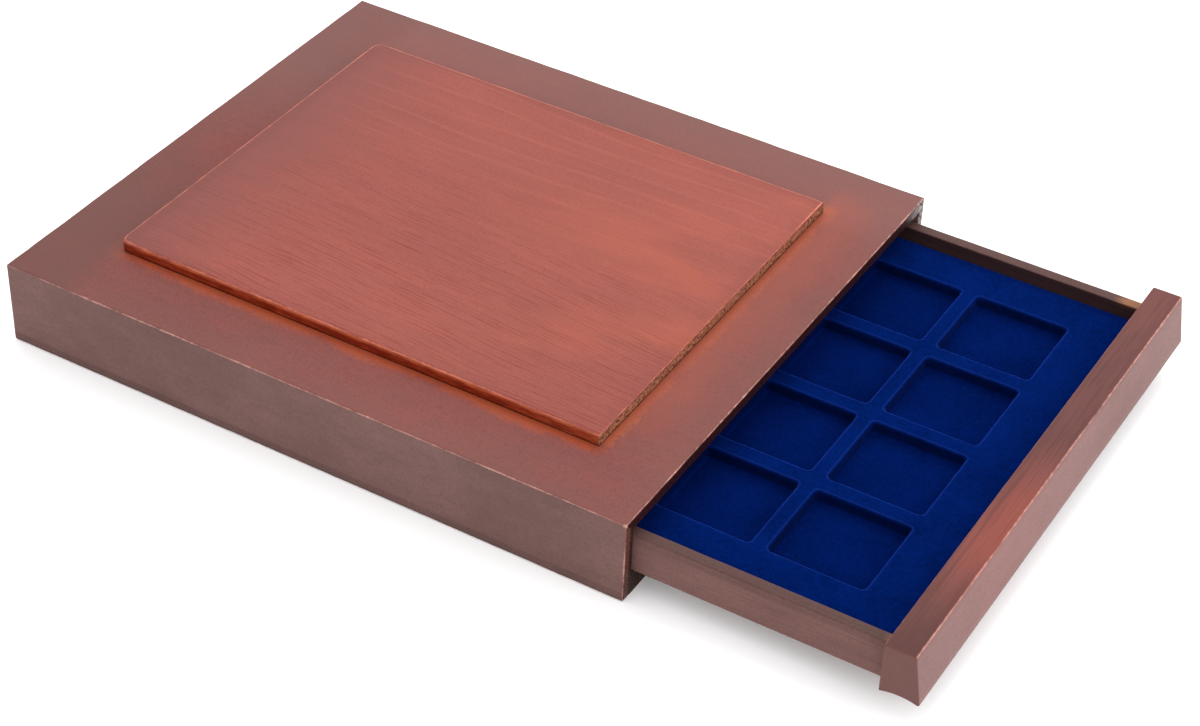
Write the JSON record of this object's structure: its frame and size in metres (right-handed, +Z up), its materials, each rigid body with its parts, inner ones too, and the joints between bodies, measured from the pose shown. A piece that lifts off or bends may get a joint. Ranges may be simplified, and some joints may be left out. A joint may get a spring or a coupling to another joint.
{
  "type": "coin drawer box",
  "caption": "Flat stackable wooden box with a sliding drawer, a flocked tray of square coin pockets and a raised board on top that locates the next box.",
  "frame": {"origin": "middle of the bottom edge of the case's front, where the drawer closes", "axes": "+X the way the drawer pulls out, +Y to the right of a user who faces the drawer, +Z up"},
  "size_m": [0.4034, 0.246, 0.042],
  "materials": {
    "mahogany_top": "mahogany stain under satin lacquer, browner towards the edges",
    "mahogany_panel": "redder mahogany stain under satin lacquer, fine open grain",
    "mahogany_side": "greyish brown stain under matt lacquer",
    "mahogany_base": "brown stain, matt",
    "mahogany_front": "mahogany stain under satin lacquer, worn pale along the edges",
    "drawer_wood": "brown stain, matt, tan where it is worn",
    "plywood": "thin stained plywood, matt",
    "blue_flock": "deep blue flock on a formed plastic sheet",
    "beech": "raw beech",
    "brad_steel": "bright drawn wire"
  },
  "bodies": {
    "case": {"top_board": "mahogany_top", "stacking_panel": "mahogany_panel", "side_wall_left": "mahogany_side", "side_wall_right": "mahogany_side", "back_wall": "mahogany_side", "floor_board": "plywood", "base_rail_front": "mahogany_side", "base_rail_back": "mahogany_base", "base_rail_left": "mahogany_base", "base_rail_right": "mahogany_base", "side_wall_brads": "brad_steel", "back_wall_brads": "brad_steel", "base_rail_brads": "brad_steel", "stacking_panel_brads": "brad_steel"},
    "drawer": {"drawer_front": "mahogany_front", "drawer_side_left": "drawer_wood", "drawer_side_right": "drawer_wood", "drawer_back": "drawer_wood", "drawer_bottom": "plywood", "coin_tray": "blue_flock", "drawer_front_dowels": "beech", "drawer_back_brads": "brad_steel", "drawer_bottom_brads": "brad_steel"}
  },
  "joints": [
    {"name": "drawer_slide", "type": "slide", "parent": "case", "child": "drawer", "axis": [1, 0, 0], "range_m": [-0.1022, 0.1335]}
  ]
}
